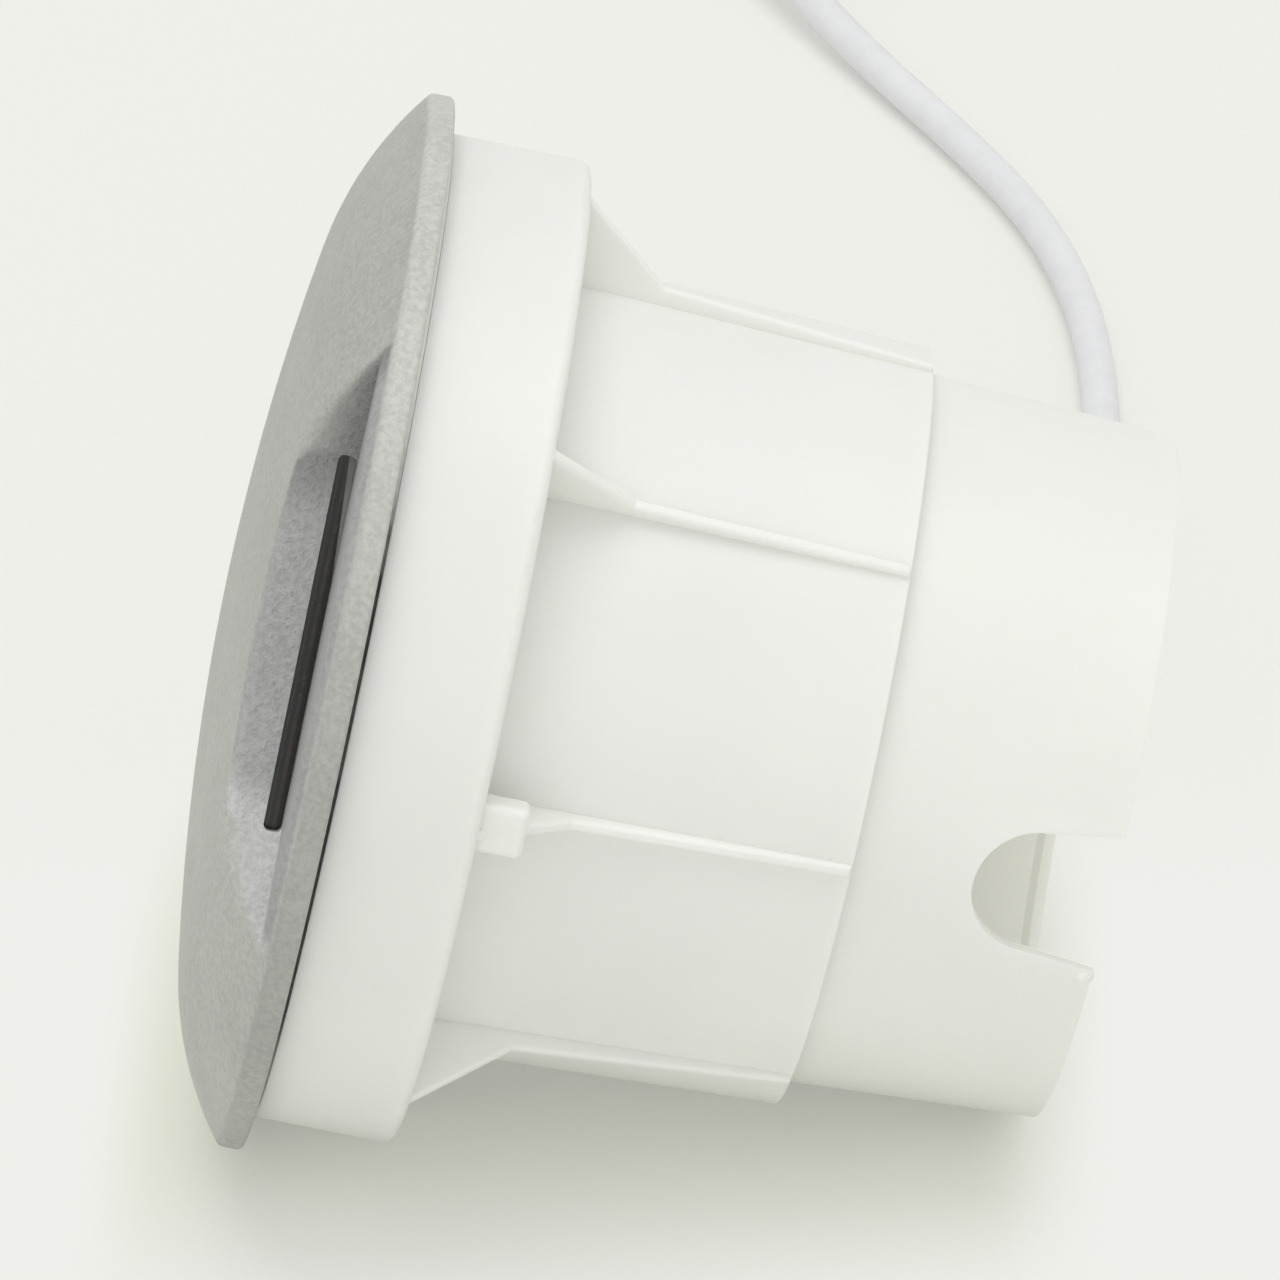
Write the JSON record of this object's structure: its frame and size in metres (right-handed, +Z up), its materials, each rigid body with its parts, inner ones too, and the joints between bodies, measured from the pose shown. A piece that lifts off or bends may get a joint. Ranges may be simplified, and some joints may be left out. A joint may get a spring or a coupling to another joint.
{
  "type": "in-ground spotlight",
  "caption": "Small round in-ground spotlight: grey domed cover with a side-facing light scoop, white ribbed mounting sleeve, lamp housing with driver, and a white supply cable.",
  "frame": {"origin": "on the table, under the middle of the lying lamp's box, without the free cable", "axes": "the lamp lies on its side: +X from the cover towards the open rear end, its axis sinking 13.7 degrees below +X; +Y to the far side, where the cable leaves; +Z up"},
  "size_m": [0.103, 0.3372, 0.0977],
  "materials": {
    "cover_paint": "fine textured powder coat, grey",
    "sleeve_plastic": "moulded, satin white",
    "black_rubber": "matt",
    "silicone": "matt",
    "window_glass": "clear, polished",
    "sink_aluminium": "milled",
    "housing_aluminium": "die cast, shot blasted",
    "pad_grey": "soft, matt",
    "board_white": "white solder mask",
    "chip_phosphor": "yellow phosphor, unlit",
    "lens_acrylic": "clear acrylic",
    "reflector_bright": "polished",
    "screw_steel": "stainless, turned",
    "band_steel": "spring steel, rolled",
    "board_green": "green solder mask",
    "capacitor_black": "shrunk sleeve",
    "coil_copper": "enamelled wire",
    "chip_black": "moulded",
    "terminal_green": "moulded",
    "wire_red": "smooth",
    "wire_black": "smooth",
    "gland_nylon": "moulded",
    "cable_pvc": "smooth white, slightly bluish",
    "core_brown": "smooth",
    "core_blue": "smooth",
    "ferrule_tin": "tinned"
  },
  "bodies": {
    "sleeve": {"mounting_sleeve": "sleeve_plastic", "cable_inner": "cable_pvc", "supply_cable": "cable_pvc", "cable_coil": "cable_pvc", "tail_core_brown": "core_brown", "tail_core_blue": "core_blue", "ferrules": "ferrule_tin"},
    "spring_band": {"spring_band": "band_steel"},
    "lamp": {"cover": "cover_paint", "cover_gasket": "black_rubber", "housing_seal": "silicone", "window_gasket": "black_rubber", "window_glass": "window_glass", "heat_sink": "sink_aluminium", "thermal_pad": "pad_grey", "led_board": "board_white", "led_chips": "chip_phosphor", "optic_lens": "lens_acrylic", "reflector": "reflector_bright", "board_screws": "screw_steel", "lamp_housing": "housing_aluminium", "cover_screws": "screw_steel", "driver_board": "board_green", "capacitor": "capacitor_black", "inductor": "coil_copper", "rectifier": "chip_black", "terminal_block": "terminal_green", "lead_positive": "wire_red", "lead_negative": "wire_black", "gland_body": "gland_nylon", "gland_locknut": "gland_nylon", "gland_seal": "black_rubber", "gland_nut": "gland_nylon", "cable_entry": "cable_pvc", "core_brown": "core_brown", "core_blue": "core_blue"}
  },
  "joints": [
    {"name": "lamp_lift", "type": "slide", "parent": "sleeve", "child": "spring_band", "axis": [-0.9714, 0, 0.2374], "range_m": [0, 0.05], "deforming": ["cable_inner"]},
    {"name": "lamp_turn", "type": "hinge", "parent": "spring_band", "child": "lamp", "pos_m": [-0.03229, 0, 0.04899], "axis": [0.9714, 0, -0.2374], "range_deg": [-180, 180]}
  ]
}
